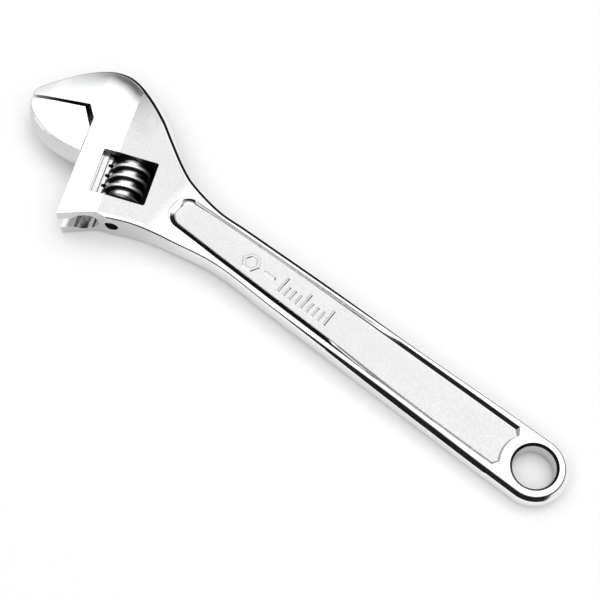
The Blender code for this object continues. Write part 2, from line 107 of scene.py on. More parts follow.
COS, SIN = math.cos(math.radians(HEAD_ANGLE)), math.sin(math.radians(HEAD_ANGLE))


def place(u, v):
    """Head axes to handle axes."""
    return (-HEAD_DISTANCE + u * COS - v * SIN, -HEAD_DROP + u * SIN + v * COS)


def in_head(x, y):
    """Handle axes to head axes."""
    dx, dy = x + HEAD_DISTANCE, y + HEAD_DROP
    return (dx * COS + dy * SIN, -dx * SIN + dy * COS)


HEAD_MATRIX = Matrix.Translation((-HEAD_DISTANCE, -HEAD_DROP, 0)) @ Matrix.Rotation(
    math.radians(HEAD_ANGLE), 4, "Z"
)
joints = {j["name"]: j for j in frame["record"]["behaviour"]["joints"]}
# from the axes used here to the frame's, in millimetres
SHIFT = Vector(joints["worm_spin"]["pos_m"]) / MM - Vector((*place(WORM_AXIS_U, 0), 0))


def handle_half_thickness(x):
    t = min(max(x / NECK_X, -0.1), 1.3)
    return 0.5 * (RING_THICKNESS + (NECK_THICKNESS - RING_THICKNESS) * t)


def half_thickness(x, y):
    """Half of the forging's thickness where its top is flat."""
    u, _ = in_head(x, y)
    head = 0.5 * HEAD_THICKNESS
    if u < WALL_U:
        t = min((WALL_U - u) / TIP_SPAN, 1.15)
        return head - 0.5 * (HEAD_THICKNESS - JAW_TIP_THICKNESS) * t
    s = min(max((u - RIDGE_U) / NECK_SPAN, 0.0), 1.0)
    s = s * (1.6 - 0.6 * s)
    return head * (1 - s) + handle_half_thickness(x) * s


def crown(x, y, reach):
    """How far polishing has taken the top down, reach mm inside the contour."""
    u, v = in_head(x, y)
    back = min(max((v - 14) / 14, 0), 1)
    before_neck = min(max((20 - u) / 13.5, 0), 1)
    from_tip = 0.4 + 0.6 * min(max((u + 34) / 38, 0), 1)
    t = max(1 - reach / CROWN_REACH, 0)
    return CROWN_DROP * (back * before_neck * from_tip) * t * t


def curve(points, spacing):
    """Points about this far apart along a smooth curve through the given ones, ends included."""
    out = []
    n = len(points[0])
    for i in range(len(points) - 1):
        p0, p1 = points[max(i - 1, 0)], points[i]
        p2, p3 = points[i + 1], points[min(i + 2, len(points) - 1)]
        reach = math.dist(p1[:2], p2[:2])
        before = math.dist(p0[:2], p2[:2]) or 1.0
        after = math.dist(p1[:2], p3[:2]) or 1.0
        count = max(2, round(reach / spacing))
        for k in range(count):
            t = k / count
            a, b = 2 * t**3 - 3 * t**2 + 1, t**3 - 2 * t**2 + t
            c, d = -2 * t**3 + 3 * t**2, t**3 - t**2
            out.append(tuple(
                a * p1[j] + b * (p2[j] - p0[j]) * reach / before
                + c * p2[j] + d * (p3[j] - p1[j]) * reach / after
                for j in range(n)))
    out.append(points[-1])
    return out


# ---- mesh helpers ----
# two of these slots paint shade: a near-black steel in recesses and a darker chrome on side faces
POLISHED, SATIN, MACHINED, PAINTED_SHADE, SLOPE, SHADED_SIDE = range(6)  # the slots of body and jaw, see SLOTS
WORM_ROOT, WORM_FLANK, WORM_CREST = range(3)  # the slots of the worm


def new_object(name, bm, slot=POLISHED):
    """An object from bm, in one material slot unless that is None."""
    mesh = bpy.data.meshes.new(name)
    if slot is not None:
        for face in bm.faces:
            face.material_index = slot
    bm.to_mesh(mesh)
    bm.free()
    for mat in SLOTS:
        mesh.materials.append(mat)
    obj = bpy.data.objects.new(name, mesh)
    bpy.context.scene.collection.objects.link(obj)
    return obj


def baked(obj):
    """Replaces an object's mesh by what its modifiers make of it."""
    graph = bpy.context.evaluated_depsgraph_get()
    graph.update()
    mesh = bpy.data.meshes.new_from_object(obj.evaluated_get(graph))
    obj.modifiers.clear()
    obj.data = mesh
    return obj


def combine(obj, other, operation):
    """Boolean of obj with other, which is used up. Each face keeps its slot."""
    step = obj.modifiers.new("step", "BOOLEAN")
    step.operation = operation
    step.solver = "EXACT"
    step.material_mode = "INDEX"
    step.object = other
    baked(obj)
    bpy.data.objects.remove(other, do_unlink=True)
    return obj


def oriented(bm):
    bmesh.ops.recalc_face_normals(bm, faces=bm.faces[:])
    return bm


def bridge(bm, a, b):
    """Quads between two closed loops of vertices."""
    n = len(a)
    for i in range(n):
        bm.faces.new((a[i], a[(i + 1) % n], b[(i + 1) % n], b[i]))


def tube(rings):
    """A closed solid through rings of points, capped at both ends."""
    bm = bmesh.new()
    loops = [[bm.verts.new(p) for p in ring] for ring in rings]
    for a, b in zip(loops, loops[1:]):
        bridge(bm, a, b)
    bm.faces.new(loops[0][::-1])
    bm.faces.new(loops[-1])
    return oriented(bm)


def head_prism(outline, z0, z1, slot=MACHINED):
    """A prism on an outline in head axes."""
    flat = [place(u, v) for u, v in outline]
    return new_object("cut", tube([[(x, y, z) for x, y in flat] for z in (z0, z1)]), slot)


def along_v(u, profile, sides, slot=MACHINED, name="cut"):
    """A turned piece on an axis along v at u; profile is (v, radius) pairs."""
    rings = []
    for v, r in profile:
        rings.append([
            HEAD_MATRIX @ Vector((u + r * math.cos(a), v, r * math.sin(a)))
            for a in (2 * math.pi * (k + 0.5) / sides for k in range(sides))
        ])
    return new_object(name, tube(rings), slot)


def subdivided(outline, step):
    out = []
    for i, (x, y) in enumerate(outline):
        x2, y2 = outline[(i + 1) % len(outline)]
        count = max(1, round(math.hypot(x2 - x, y2 - y) / step))
        out += [(x + (x2 - x) * k / count, y + (y2 - y) * k / count) for k in range(count)]
    return out


def offset(loop, distance):
    """A closed loop moved outward by distance, with mitred corners."""
    n = len(loop)
    turn = sum(loop[i - 1][0] * loop[i][1] - loop[i][0] * loop[i - 1][1] for i in range(n))
    sign = 1 if turn > 0 else -1
    out = []
    for i, (x, y) in enumerate(loop):
        mx = my = 0.0
        for (ax, ay), (bx, by) in ((loop[i - 1], (x, y)), ((x, y), loop[(i + 1) % n])):
            length = math.hypot(bx - ax, by - ay) or 1.0
            mx += (by - ay) / length * sign
            my -= (bx - ax) / length * sign
        scale = 2 / max(mx * mx + my * my, 0.5)
        out.append((x + mx * scale * distance, y + my * scale * distance))
    return out


def surface_cutter(outline, profile, slot=MACHINED, inward=False):
    """A cutter through the whole part. profile is (depth below the surface, growth) pairs."""
    sign = -1 if inward else 1
    rings = []
    loops = [(depth, offset(outline, sign * grow)) for depth, grow in profile]
    for depth, loop in loops[::-1]:
        rings.append([(x, y, -(half_thickness(x, y) - depth)) for x, y in loop])
    for depth, loop in loops:
        rings.append([(x, y, half_thickness(x, y) - depth) for x, y in loop])
    return new_object("cut", tube(rings), slot)


def rounded_box(u0, u1, v0, v1, r, steps=6):
    out = []
    for cu, cv, start in ((u1 - r, v1 - r, 0), (u0 + r, v1 - r, 90),
                          (u0 + r, v0 + r, 180), (u1 - r, v0 + r, 270)):
        for k in range(steps + 1):
            a = math.radians(start + 90 * k / steps)
            out.append((cu + r * math.cos(a), cv + r * math.sin(a)))
    return out


def head_loop(outline, step=2.0):
    return subdivided([place(u, v) for u, v in outline], step)


# cutter profiles: (depth below the surface, growth)
CHAMFER = ((0.1, 0.0), (-0.7, 0.8))
WINDOW_CHAMFER = ((0.12, 0.0), (-0.7, 0.82))
JAW_CHAMFER = ((0.2, 0.0), (-0.5, 0.7))
HOLE_CHAMFER = ((1.5, 0.0), (0.35, 0.88), (0.12, 1.1), (0.0, 1.4), (-0.8, 2.4))
# the forging's side: heights as shares, then (share of the width, tilt) from the bottom up
WALL_STEPS = (0.0, 0.22, 0.42, 0.6, 0.76, 0.9, 1.0)
BEVEL = ((0.15, 53), (0.65, 50), (0.2, 45))
SHOULDER = ((0.5, 29), (0.2, 24), (0.15, 16), (0.15, 8))


def smooth_step(value, low, high):
    """0 below low, 1 above high, with a smooth rise between."""
    t = min(max((value - low) / (high - low), 0.0), 1.0)
    return t * t * (3 - 2 * t)


def body_edge(x, y, w):
    """Widths of the soft shoulder and of the bevel below it, and how bowed the side is."""
    u, _ = in_head(x, y)
    near_ring = smooth_step(x, -135, -60)
    handle = (1.6 - 1.0 * near_ring, 0.45 + 1.45 * near_ring, 4.0)
    if x > -180:
        return handle
    if u < RIDGE_U:
        back = smooth_step(u, -30, 0)
        return min(0.45 + 1.15 * back, 0.5 * w), min(0.1 + 0.9 * back, 0.3 * w), 2.0
    head = (min(1.6, 0.6 * w + 0.3), min(0.45 + 0.25 * (w - 1.3), 0.3 * w), 2.5)
    t = smooth_step(x, -205, -180)
    return tuple(a + (b - a) * t for a, b in zip(head, handle))


def jaw_edge(x, y, w):
    """The same for the movable jaw, whose edges are crisp all round."""
    return 0.2, 0.05, 1.4


def forged(name, contour, spacing, region, edge, top_slot=lambda x, y: POLISHED):
    """A forging symmetric about z = 0, from its flat top's (x, y, side width) contour.

    region is a (u0, u1, v0, v1) box whose top gets a fine even mesh, for smooth reflections.
    edge gives the shape of the side at a point, and top_slot the material of the flat top.
    """
    n = len(contour)
    flat = [(x, y) for x, y, _ in contour]
    grown = offset(flat, 1.0)
    outward = [(gx - x, gy - y) for (gx, gy), (x, y) in zip(grown, flat)]
    outward = [(ox / math.hypot(ox, oy), oy / math.hypot(ox, oy)) for ox, oy in outward]
    bm = bmesh.new()
    sides = []
    for (x, y, w), (ox, oy) in zip(contour, outward):
        def at(out, drop, level=None):
            """A point out from the contour and drop below the top, or at a share of that height."""
            px, py = x + ox * out, y + oy * out
            top = half_thickness(px, py) - crown(x, y, 0) - drop
            return px, py, top if level is None else top * level

        shoulder, bevel, bow = edge(x, y, w)
        path = [at(0.0, 0.0)]
        out = drop = 0.0
        for width, zone in ((shoulder, SHOULDER[::-1]), (bevel, BEVEL[::-1])):
            for part, tilt in zone:
                out += part * width
                drop += part * width * math.tan(math.radians(tilt))
                path.append(at(out, drop))
        rest = w - out
        for q in WALL_STEPS[-2::-1]:
            path.append(at(out + rest * (1 - q ** bow), drop, q))
        sides.append(path[::-1])
    rings = [[bm.verts.new(path[k]) for path in sides] for k in range(len(sides[0]))]
    for a, b in zip(rings, rings[1:]):
        bridge(bm, a, b)
    # the flat top: contour, an even grid inside region, and rows of points on ridge and wall
    starts = np.array(flat)
    ends = np.roll(starts, -1, axis=0)
    steps = ends - starts

    def reach(p):
        """How far p is from the contour."""
        t = np.clip(((p - starts) * steps).sum(1) / (steps**2).sum(1), 0, 1)
        nearest = starts + steps * t[:, None]
        return float(np.sqrt(((p - nearest) ** 2).sum(1)).min())

    def inside(p):
        x, y = p
        spans = (starts[:, 1] > y) != (ends[:, 1] > y)
        with np.errstate(divide="ignore", invalid="ignore"):
            crossing = starts[:, 0] + (y - starts[:, 1]) * steps[:, 0] / steps[:, 1]
        return bool((spans & (x < crossing)).sum() % 2)

    points = [Vector(p) for p in flat]
    reaches = [0.0] * n

    def add_point(u, v, least):
        """Adds a point of the top if it is inside, more than least from the contour."""
        p = np.array(place(u, v))
        if inside(p):
            r = reach(p)
            if r > least:
                points.append(Vector(p))
                reaches.append(r)

    u0, u1, v0, v1 = region
    row = spacing * 0.866
    for j in range(round((v1 - v0) / row)):
        for i in range(round((u1 - u0) / spacing)):
            u = u0 + (i + 0.5 * (j % 2)) * spacing
            if min(abs(u - RIDGE_U), abs(u - WALL_U)) >= 0.45 * spacing:
                add_point(u, v0 + j * row, 0.6 * spacing)
    for u in (RIDGE_U, WALL_U):
        for j in range(round((v1 - v0) / (0.8 * spacing))):
            add_point(u, v0 + j * 0.8 * spacing, 0.3 * spacing)
    coords, _, faces, origin, _, _ = delaunay_2d_cdt(points, [], [list(range(n))], 1, 1e-5)
    verts = []
    for co, source in zip(coords, origin):
        k = source[0] if source else None
        if k is not None and k < n:
            verts.append(rings[-1][k])
        else:
            r = reaches[k] if k is not None else reach(np.array(co))
            verts.append(bm.verts.new((co.x, co.y, half_thickness(*co) - crown(*co, r))))
    for face in faces:
        made = bm.faces.new([verts[k] for k in face])
        middle = made.calc_center_median()
        made.material_index = top_slot(middle.x, middle.y)
    upper = bm.verts[:] + bm.edges[:] + bm.faces[:]
    for item in bmesh.ops.duplicate(bm, geom=upper)["geom"]:
        if isinstance(item, bmesh.types.BMVert):
            item.co.z = -item.co.z
    bmesh.ops.remove_doubles(bm, verts=bm.verts[:], dist=1e-4)
    return new_object(name, oriented(bm), None)


# ---- materials ----
def new_material(name):
    mat = bpy.data.materials.new(name)
    mat.use_nodes = True
    tree = mat.node_tree
    return mat, tree, tree.nodes["Principled BSDF"]


def add(tree, kind, **values):
    """A node whose inputs or properties have the values given by name."""
    node = tree.nodes.new(kind)
    for key, value in values.items():
        if key in node.inputs:
            node.inputs[key].default_value = value
        else:
            setattr(node, key, value)
    return node


def metal(name, colour, roughness, spread, grain, depth, stretch=(1, 1, 1), waves=0.0, dark=0.94):
    """Metal with uneven roughness, a fine grain in bump, and slow waves from hand polishing.

    The grain's colour runs from dark times colour to colour, and its relief is depth metres.
    """
    mat, tree, shader = new_material(name)
    link = tree.links.new
    shader.inputs["Metallic"].default_value = 1.0
    coords = add(tree, "ShaderNodeTexCoord")
    mapping = add(tree, "ShaderNodeMapping")
    mapping.inputs["Scale"].default_value = stretch
    link(coords.outputs["Object"], mapping.inputs["Vector"])
    broad = add(tree, "ShaderNodeTexNoise", Scale=60.0, Detail=4.0, Roughness=0.6)
    link(coords.outputs["Object"], broad.inputs["Vector"])
    rough = add(tree, "ShaderNodeMapRange")
    rough.inputs["To Min"].default_value = roughness - spread
    rough.inputs["To Max"].default_value = roughness + spread
    link(broad.outputs["Fac"], rough.inputs["Value"])
    link(rough.outputs["Result"], shader.inputs["Roughness"])
    tint = add(tree, "ShaderNodeMix", data_type="RGBA")
    tint.inputs["A"].default_value = (*[c * dark for c in colour], 1)
    tint.inputs["B"].default_value = (*colour, 1)
    fine = add(tree, "ShaderNodeTexNoise", Scale=grain, Detail=3.0, Roughness=0.7)
    link(mapping.outputs["Vector"], fine.inputs["Vector"])
    link(fine.outputs["Fac"], tint.inputs["Factor"])
    link(tint.outputs["Result"], shader.inputs["Base Color"])
    bump = add(tree, "ShaderNodeBump", Strength=1.0, Distance=depth)
    link(fine.outputs["Fac"], bump.inputs["Height"])
    last = bump
    if waves:
        slow = add(tree, "ShaderNodeTexNoise", Scale=45.0, Detail=1.0)
        link(coords.outputs["Object"], slow.inputs["Vector"])
        wave = add(tree, "ShaderNodeBump", Strength=1.0, Distance=waves)
        link(slow.outputs["Fac"], wave.inputs["Height"])
        link(bump.outputs["Normal"], wave.inputs["Normal"])
        last = wave
    link(last.outputs["Normal"], shader.inputs["Normal"])
    return mat


POLISH = ((0.90, 0.905, 0.91), 0.09)  # colour and roughness
BLASTED = ((0.86, 0.866, 0.864), 0.42, 0.06, 1100, 1.2e-4)  # and its spread, grain and relief
chrome = metal("chrome_polished", *POLISH, 0.03, 900, 2e-6, waves=3e-5)
satin = metal("chrome_satin", *BLASTED, dark=0.62)
slope = metal("chrome_satin_neck", *BLASTED, dark=0.62)
machined = metal("steel_machined", (0.70, 0.70, 0.70), 0.15, 0.03, 1500, 6e-6, (1, 0.08, 1))
# a darker copy of the chrome for side faces, a painted shade
shaded_side_chrome = metal("chrome_side_painted_shade", (0.65, 0.65, 0.655), 0.16, 0.04, 1500, 8e-6)
# near-black steel, a painted shade for the window's walls, the bores, the rack's gaps, the hang
# hole's chamfer and the worm's flanks
painted_shade_steel = metal("steel_painted_shade", (0.06, 0.06, 0.063), 0.34, 0.08, 1500, 1.5e-5)
worm_steel = metal("worm_steel", (0.92, 0.92, 0.92), 0.27, 0.05, 1800, 8e-6)
# the crest's steel is lighter than the worm's, a painted highlight; its higher roughness belongs to
# the knurled crest
worm_crest_painted_highlight = metal("worm_crest_painted_highlight", (0.97, 0.97, 0.97), 0.46, 0.05, 1800, 8e-6)
pin_steel = metal("pin_steel", (0.42, 0.42, 0.43), 0.36, 0.06, 1800, 1.5e-5)
spring_steel = metal("spring_wire", (0.55, 0.55, 0.55), 0.3, 0.05, 2000, 5e-6)
SLOTS = [chrome, satin, machined, painted_shade_steel, slope, shaded_side_chrome]  # POLISHED, SATIN, ... SHADED_SIDE


def blend_to_polish(mat, zone):
    """Turns a finish into polish along X, where the head runs into the handle: the neck's satin, and
    the painted shade of the darker side chrome.
    """
    tree = mat.node_tree
    link = tree.links.new
    shader = tree.nodes["Principled BSDF"]
    coords = add(tree, "ShaderNodeTexCoord")
    split = add(tree, "ShaderNodeSeparateXYZ")
    ease = add(tree, "ShaderNodeMapRange", interpolation_type="SMOOTHSTEP")
    for key, value in zip(("From Min", "From Max"), zone):
        ease.inputs[key].default_value = (value + SHIFT.x) * MM
    link(coords.outputs["Object"], split.inputs["Vector"])
    link(split.outputs["X"], ease.inputs["Value"])
    colour, roughness = POLISH
    for key, data_type, socket_type, polished in (
            ("Base Color", "RGBA", "RGBA", (*colour, 1)), ("Roughness", "FLOAT", "VALUE", roughness)):
        before = shader.inputs[key].links[0].from_socket
        mix = add(tree, "ShaderNodeMix", data_type=data_type)

        def socket(sockets, label):
            return [q for q in sockets if q.name == label and q.type == socket_type][0]

        socket(mix.inputs, "B").default_value = polished
        link(ease.outputs["Result"], mix.inputs["Factor"])
        link(before, socket(mix.inputs, "A"))
        link(socket(mix.outputs, "Result"), shader.inputs[key])


blend_to_polish(slope, NECK_POLISH)
blend_to_polish(shaded_side_chrome, SIDE_POLISH)


# ---- body ----
def body_contour():
    """The flat top's (x, y, side width) round the whole forging, before anything is cut from it."""
    upper, lower = [], []
    for x in (-20, -45, -75, -105, -135, -165):
        t = (x + 20) / -145
        half = HANDLE_HALF_WIDTH_RING + (HANDLE_HALF_WIDTH_NECK - HANDLE_HALF_WIDTH_RING) * t
        edge = RING_EDGE + (HANDLE_EDGE - RING_EDGE) * t
        upper.append((x, half - edge, edge))
        lower.append((x, -half + edge, edge))
    upper.append((-180, upper[-1][1] - 0.3, HANDLE_EDGE - 0.1))
    r = RING_RADIUS - RING_EDGE
    ring = [(r * math.cos(a), r * math.sin(a), RING_EDGE)
            for a in (math.radians(-90 + 3 * k) for k in range(61))]
    head = [(*place(u, v), w) for u, v, w in HEAD_CONTOUR]
    return ring + curve([ring[-1]] + upper + head + lower[::-1] + [ring[0]], 1.3)[1:-1]


def pocket_loop():
    """The pocket floor's outline: an arc round the ring, straight sides, two round corners."""
    end = POCKET_HEAD_END

    def half(x):
        t = 1 - (x + 176) / 161
        widening = POCKET_HALF_WIDTH_RING - POCKET_HALF_WIDTH_HEAD
        return POCKET_HALF_WIDTH_HEAD + widening * (1 - t * t)

    arc = POCKET_RING_RADIUS
    alpha = math.asin(0.8 * half(-15) / arc)
    loop = [(arc * math.cos(a), arc * math.sin(a)) for a in
            (math.pi - alpha + 2 * alpha * k / 24 for k in range(25))]
    corner = arc * math.cos(math.pi - alpha) - 1.0
    r = POCKET_CORNER
    along = [corner] + list(range(-25, -185, -10))
    loop += [(x, -half(x)) for x in along]
    for sign, start, span in ((-1, 270, -90), (1, 180, -90)):
        for k in range(10):
            a = math.radians(start + span * k / 9)
            loop.append((-end + r + r * math.cos(a),
                         sign * (half(-end + r) - r) + r * math.sin(a)))
    return loop + [(x, half(x)) for x in along[::-1]]


def pocket_wall(x, y):
    """The wall's width: wide on the lower side near the head, on the upper side near the ring."""
    near_ring = smooth_step(x, -140, -60)
    upper = 0.7 + 0.85 * near_ring + 1.0 * smooth_step(-x, 187, 192)
    lower = 2.3 - 1.1 * smooth_step(x, -110, -50)
    wall = lower + (upper - lower) * smooth_step(y, 1, 7)
    at_ring = smooth_step(-math.hypot(x, y), -19.0, -16.0) * smooth_step(-abs(y), -10.5, -8.5)
    return wall + (0.8 - wall) * at_ring


def pocket(side):
    """The pocket's cutter. Each ring has a rise above the floor, the share of the wall's width
    it keeps inside the opening (None: more low down near the head), and its growth."""
    opening = offset(pocket_loop(), POCKET_WALL)
    away = [(gx - x, gy - y) for (gx, gy), (x, y) in zip(offset(opening, 1.0), opening)]
    rings = []
    for rise, reach, grow in (
            (0.0, 1.0, -0.5), (0.06, 1.0, -0.18), (0.2, 0.98, 0.0), (0.75, None, 0.0),
            (POCKET_DEPTH - 0.1, 0.05, 0.02), (POCKET_DEPTH, 0.0, 0.3),
            (POCKET_DEPTH + 0.05, 0.0, 0.6), (POCKET_DEPTH + 1.2, 0.0, 1.3)):
        ring = []
        for (x, y), (ax, ay) in zip(opening, away):
            along = smooth_step(x, -110, -50)
            low = (1 - smooth_step(y, 1, 7)) * (1 - along)
            part = 0.5 + 0.18 * along + 0.36 * low if reach is None else reach
            move = grow - part * pocket_wall(x, y)
            ring.append((x + ax * move, y + ay * move,
                         side * (handle_half_thickness(x) - POCKET_DEPTH + rise)))
        rings.append(ring)
    bm = tube(rings)
    bmesh.ops.triangulate(bm, faces=[f for f in bm.faces if len(f.verts) > 4])
    return new_object("cut", bm)


def raised(outline, hole=None):
    """A raised mark on the upper pocket's floor, with sloped polished flanks."""
    bm = bmesh.new()
    steps = ((-0.5, 0.18), (0.0, 0.18), (MARK_HEIGHT - 0.06, -0.14), (MARK_HEIGHT, -0.26))

    def ring(loop, rise):
        return [bm.verts.new((x, y, handle_half_thickness(x) - POCKET_DEPTH + rise))
                for x, y in loop]

    rings = [ring(offset(outline, grow), rise) for rise, grow in steps]
    if hole:
        rings += [ring(offset(hole, -grow), rise) for rise, grow in steps][::-1]
        bridges = list(zip(rings, rings[1:])) + [(rings[-1], rings[0])]
    else:
        bridges = list(zip(rings, rings[1:]))
        bm.faces.new(rings[0][::-1])
        bm.faces.new(rings[-1])
    for a, b in bridges:
        bridge(bm, a, b)
    oriented(bm)
    for face in bm.faces:
        face.material_index = SATIN if abs(face.normal.z) > 0.75 else POLISHED
    return new_object("mark", bm, None)


def marks():
    """A hexagon outline, a dash and a row of scale ticks."""
    cx = MARK_X
    hexes = [[(cx + r * math.cos(math.radians(60 * k)), r * math.sin(math.radians(60 * k)))
              for k in range(6)] for r in (4.6, 2.9)]
    out = [raised(*hexes)]
    out.append(raised([(cx + 7.5, -0.7), (cx + 13.5, -0.7), (cx + 13.5, 0.7), (cx + 7.5, 0.7)]))
    for k in range(9):
        x = cx + 18.0 + 3.2 * k
        top = 4.2 if k % 4 == 0 else 1.2
        out.append(raised([(x - 0.5, -4.2), (x + 0.5, -4.2), (x + 0.5, top), (x - 0.5, top)]))
    return out


def body_top_slot(x, y):
    return SLOPE if in_head(x, y)[0] > RIDGE_U and x < NECK_POLISH[1] else POLISHED


def body_slot(face):
    """The material of a face of the body, from its cutter's, its place and its tilt."""
    x, y, z = face.center
    u, v = in_head(x, y)
    level = abs(face.normal.z)
    slot = face.material_index
    below = half_thickness(x, y) - abs(z)
    # the hang hole's chamfer is painted near-black and its wall takes the darker machined steel:
    # painted shade on what is chrome
    if math.hypot(x, y) < HANG_HOLE_RADIUS + 1.0 and level < 0.93:  # the hole's edge and wall
        return PAINTED_SHADE if level > 0.3 else MACHINED
    if slot == POLISHED and level > 0.97 and below > 1.0 and -197 < x < -12:  # pocket floors
        return SATIN
    # the neck's lower side takes the darker side chrome, a painted shade
    if slot == POLISHED and level < 0.5 and x < SIDE_POLISH[1] and v < -14:  # the neck's lower side
        return SHADED_SIDE
    if slot == PAINTED_SHADE and -1.4 < u < -0.3 and abs(v) < 10.4:  # the window's wall beside the rod
        return POLISHED
    return slot


def build_body():
    body = forged("wrench_body", body_contour(), 1.7, (-46, 52, -36, 56), body_edge, body_top_slot)
    mouth = [(THROAT_U, FIXED_FACE_V), (-70, FIXED_FACE_V), (-70, -70), (WALL_U, -70),
             (WALL_U, THROAT_END_V)]
    combine(body, surface_cutter(head_loop(mouth), CHAMFER), "DIFFERENCE")
    end = [(-30, -33.2), (2.0, -22.0), (5.0, -21.15), (7.0, -21.0), (9.0, -21.2), (11.0, -21.6),
           (13.0, -22.3), (15.0, -23.4), (15.0, -70), (-30, -70)]
    # the end face takes the darker side chrome, a painted shade
    combine(body, surface_cutter(head_loop(end), CHAMFER, SHADED_SIDE), "DIFFERENCE")
    window = head_loop(rounded_box(*WINDOW_U, *WINDOW_V, WINDOW_CORNER), 1.5)
    # the window's walls take the near-black steel, a painted shade
    combine(body, surface_cutter(window, WINDOW_CHAMFER, PAINTED_SHADE), "DIFFERENCE")
    slot = [(WALL_U - 4, -60), (0, -60), (0, SLOT_TOP_V), (WALL_U - 4, SLOT_TOP_V)]
    combine(body, head_prism(slot, -SLOT_HALF, SLOT_HALF), "DIFFERENCE")
    bore = along_v(0, ((-60, CHANNEL_RADIUS), (CHANNEL_TOP_V, CHANNEL_RADIUS)), 80)
    combine(body, bore, "DIFFERENCE")
    wide, narrow = PIN_HEAD_RADIUS + CLEARANCE, PIN_RADIUS + CLEARANCE
    seat = PIN_HEAD_TOP_V + CLEARANCE
    # the pin's bore takes the near-black steel, a painted shade
    hole = along_v(WORM_AXIS_U, ((-60, wide), (seat, wide), (seat + 0.01, narrow),
                                 (PIN_END_V + 0.5, narrow)), 48, PAINTED_SHADE)
    combine(body, hole, "DIFFERENCE")
    circle = [(HANG_HOLE_RADIUS * math.cos(2 * math.pi * k / 120),
               HANG_HOLE_RADIUS * math.sin(2 * math.pi * k / 120)) for k in range(120)]
    combine(body, surface_cutter(circle, HOLE_CHAMFER, POLISHED), "DIFFERENCE")
    for side in (1, -1):
        combine(body, pocket(side), "DIFFERENCE")
    for mark in marks():
        combine(body, mark, "UNION")
    for face in body.data.polygons:
        face.material_index = body_slot(face)
    return body


# ---- movable jaw ----
def jaw_slot(face):
    u, _ = in_head(face.center.x, face.center.y)
    slot, level = face.material_index, abs(face.normal.z)
    # the jaw's side faces take the darker side chrome, a painted shade
    if slot == POLISHED and level < 0.5 and u < WALL_U - 0.3:
        return SHADED_SIDE
    # the flats beside the teeth take the near-black steel, a painted shade
    if slot == MACHINED and level < 0.2 and abs(u - RACK_STEP_U) < 0.05:  # beside the teeth
        return PAINTED_SHADE
    return slot


def build_rod():
    """The rod in the body's channel, with the rack's teeth left between slanted gaps."""
    r = CHANNEL_RADIUS - CLEARANCE
    v0, v1 = ROD_V
    rod = along_v(0, ((v0, r - 0.8), (v0 + 0.25, r - 0.3), (v0 + 0.8, r), (v1 - 0.8, r),
                      (v1, r - 0.8)), 72, name="rod")
    strip = [(RACK_STEP_U, -40), (20, -40), (20, 50), (RACK_STEP_U, 50)]
    for z0, z1 in ((RACK_HALF, 20), (-20, -RACK_HALF)):
        combine(rod, head_prism(strip, z0, z1), "DIFFERENCE")
    lean = LEAD / (2 * math.pi * (WORM_RADIUS - 0.7))
    crest_u, outer_u = WORM_AXIS_U - WORM_RADIUS, 12
    at_crest = 0.5 * THREAD_CREST + CLEARANCE
    low = at_crest - THREAD_TAPER * (crest_u - RACK_ROOT_U)
    high = at_crest + THREAD_TAPER * (outer_u - crest_u)
    half_gap = ((RACK_ROOT_U, low - 0.35), (RACK_ROOT_U + 0.12, low - 0.1),
                (RACK_ROOT_U + 0.4, low), (outer_u, high))
    gap = [(u, -w) for u, w in half_gap] + list(half_gap[::-1])
    for k in range(math.ceil((v0 + 0.5) / LEAD), math.floor((v1 + 2.5) / LEAD) + 1):
        rings = [[HEAD_MATRIX @ Vector((u, k * LEAD + lean * z + w, z)) for u, w in gap]
                 for z in (-8.0, 8.0)]
        # each gap's faces take the near-black steel, a painted shade between the teeth
        combine(rod, new_object("gap", tube(rings), PAINTED_SHADE), "DIFFERENCE")
    return rod


def build_jaw():
    path = [(*place(u, v), w) for u, v, w in JAW_CONTOUR]
    path += [(*place(8.0, 20.0), 2.0), (*place(-10.0, 42.0), 2.0), (*place(-34.0, 42.0), 2.0)]
    path.append(path[0])
    jaw = forged("wrench_jaw", curve(path, 1.2)[:-1], 1.7, (-46, 12, 2, 46), jaw_edge)
    mouth_v = FIXED_FACE_V - JAW_GAP
    wall = WALL_U - 0.12
    keep = [(wall, -10), (wall, 20.25), (-16.6, mouth_v), (-60, mouth_v), (-60, -10)]
    combine(jaw, surface_cutter(head_loop(keep), JAW_CHAMFER, inward=True), "INTERSECT")
    half = SLOT_HALF - CLEARANCE
    web = [(wall - 2.0, 8.4), (0, 8.4), (0, 20.2), (wall - 2.0, 20.2)]
    combine(jaw, head_prism(web, -half, half), "UNION")
    combine(jaw, build_rod(), "UNION")
    for face in jaw.data.polygons:
        face.material_index = jaw_slot(face)
    return jaw


# ---- worm, its pin and its spring ----
def worm_slot(face):
    u, _ = in_head(face.center.x, face.center.y)
    if math.hypot(u - WORM_AXIS_U, face.center.z) > WORM_RADIUS - 0.35:
        return WORM_CREST
    along_axis = face.normal.y * COS - face.normal.x * SIN
    # the thread's flanks take the near-black steel, a painted shade between the crests
    return WORM_FLANK if abs(along_axis) > 0.86 else WORM_ROOT


